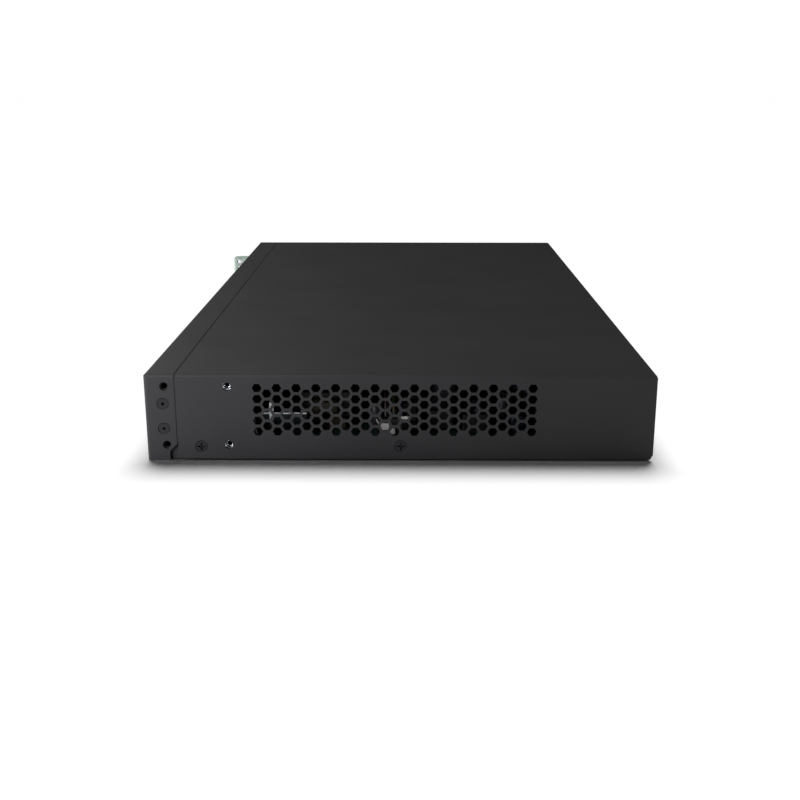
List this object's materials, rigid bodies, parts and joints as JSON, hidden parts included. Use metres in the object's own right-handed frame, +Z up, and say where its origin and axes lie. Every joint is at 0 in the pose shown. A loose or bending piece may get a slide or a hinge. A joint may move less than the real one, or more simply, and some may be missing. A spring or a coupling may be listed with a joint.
{
  "type": "rackmount network switch",
  "caption": "One-unit rackmount network switch: folded black steel case with hexagonal side vents, front network sockets, pluggable screw terminal, side fans and rear mains inlet.",
  "frame": {"origin": "middle of the case floor's underside, on the surface the case rests on", "axes": "+X along the front panel to the right of someone facing it, +Y from the front to the rear, +Z up"},
  "size_m": [0.44, 0.2699, 0.044],
  "materials": {
    "black_steel": "fine satin powder coat",
    "zinc_steel": "bright zinc plate",
    "black_screw": "black oxide",
    "nickel_shield": "dull nickel plate",
    "laminate": "green solder resist",
    "black_plastic": "moulded black",
    "chip_plastic": "moulded black",
    "aluminium": "extruded",
    "pale_terminal": "pale grey-green moulding",
    "clear_plastic": "clear moulding",
    "tape": "yellow polyester tape",
    "sleeve": "shrunk sleeve",
    "copper": "enamelled copper winding",
    "white_nylon": "natural white nylon",
    "live_wire": "brown insulation",
    "neutral_wire": "blue insulation",
    "earth_wire": "green and yellow insulation",
    "dark_wire": "black insulation"
  },
  "bodies": {
    "switch": {"chassis_base": "black_steel", "top_cover": "black_steel", "front_panel": "black_steel", "main_board": "laminate", "terminal_board": "laminate", "supply_board": "laminate", "switch_chip": "chip_plastic", "switch_heatsink": "aluminium", "port_chip_heatsink_1": "aluminium", "port_chip_heatsink_2": "aluminium", "jack_block_left": "nickel_shield", "jack_block_right": "nickel_shield", "optical_cage_bank": "nickel_shield", "console_jack": "black_plastic", "status_light_pipe": "clear_plastic", "uplink_light_pipe": "clear_plastic", "reset_switch": "black_plastic", "terminal_header": "pale_terminal", "supply_heatsink_input": "aluminium", "supply_heatsink_output": "aluminium", "heatsink_clip": "zinc_steel", "supply_transformer": "tape", "supply_capacitor": "sleeve", "supply_choke": "copper", "supply_plug": "white_nylon", "supply_harness": "dark_wire", "power_inlet": "black_plastic", "lead_live": "live_wire", "lead_earth": "earth_wire", "lead_neutral": "neutral_wire", "ground_screw": "zinc_steel", "cover_screw_right_front": "black_screw", "cover_screw_left_front": "black_screw", "cover_screw_right_middle": "black_screw", "cover_screw_left_middle": "black_screw", "panel_screw_right_upper": "black_screw", "ear_nut_right_upper": "zinc_steel", "panel_screw_left_upper": "black_screw", "ear_nut_left_upper": "zinc_steel", "panel_screw_right_lower": "black_screw", "ear_nut_right_lower": "zinc_steel", "panel_screw_left_lower": "black_screw", "ear_nut_left_lower": "zinc_steel", "rear_screw_1": "black_screw", "rear_screw_2": "black_screw", "fan_frame_front": "black_plastic", "fan_lead_front": "dark_wire", "fan_frame_rear": "black_plastic", "fan_lead_rear": "dark_wire", "inlet_pin_earth": "nickel_shield", "inlet_pin_live": "nickel_shield", "inlet_pin_neutral": "nickel_shield"},
    "terminal_plug": {"terminal_plug": "pale_terminal", "terminal_screw_1": "zinc_steel", "terminal_screw_2": "zinc_steel", "terminal_screw_3": "zinc_steel", "terminal_screw_4": "zinc_steel"},
    "reset_button": {"reset_button": "white_nylon"},
    "fan_rotor_front": {"fan_rotor_front": "black_plastic"},
    "fan_rotor_rear": {"fan_rotor_rear": "black_plastic"}
  },
  "joints": [
    {"name": "fan_front_spin", "type": "hinge", "parent": "switch", "child": "fan_rotor_front", "pos_m": [-0.206, -0.022, 0.0216], "axis": [1, 0, 0], "continuous": true},
    {"name": "fan_rear_spin", "type": "hinge", "parent": "switch", "child": "fan_rotor_rear", "pos_m": [-0.206, 0.042, 0.0216], "axis": [1, 0, 0], "continuous": true},
    {"name": "terminal_plug_pull", "type": "slide", "parent": "switch", "child": "terminal_plug", "axis": [0, -1, 0], "range_m": [0, 0.02]},
    {"name": "reset_button_press", "type": "slide", "parent": "switch", "child": "reset_button", "axis": [0, 1, 0], "range_m": [0, 0.0005], "stiffness_N_per_m": 400, "springref_m": -0.0005}
  ]
}
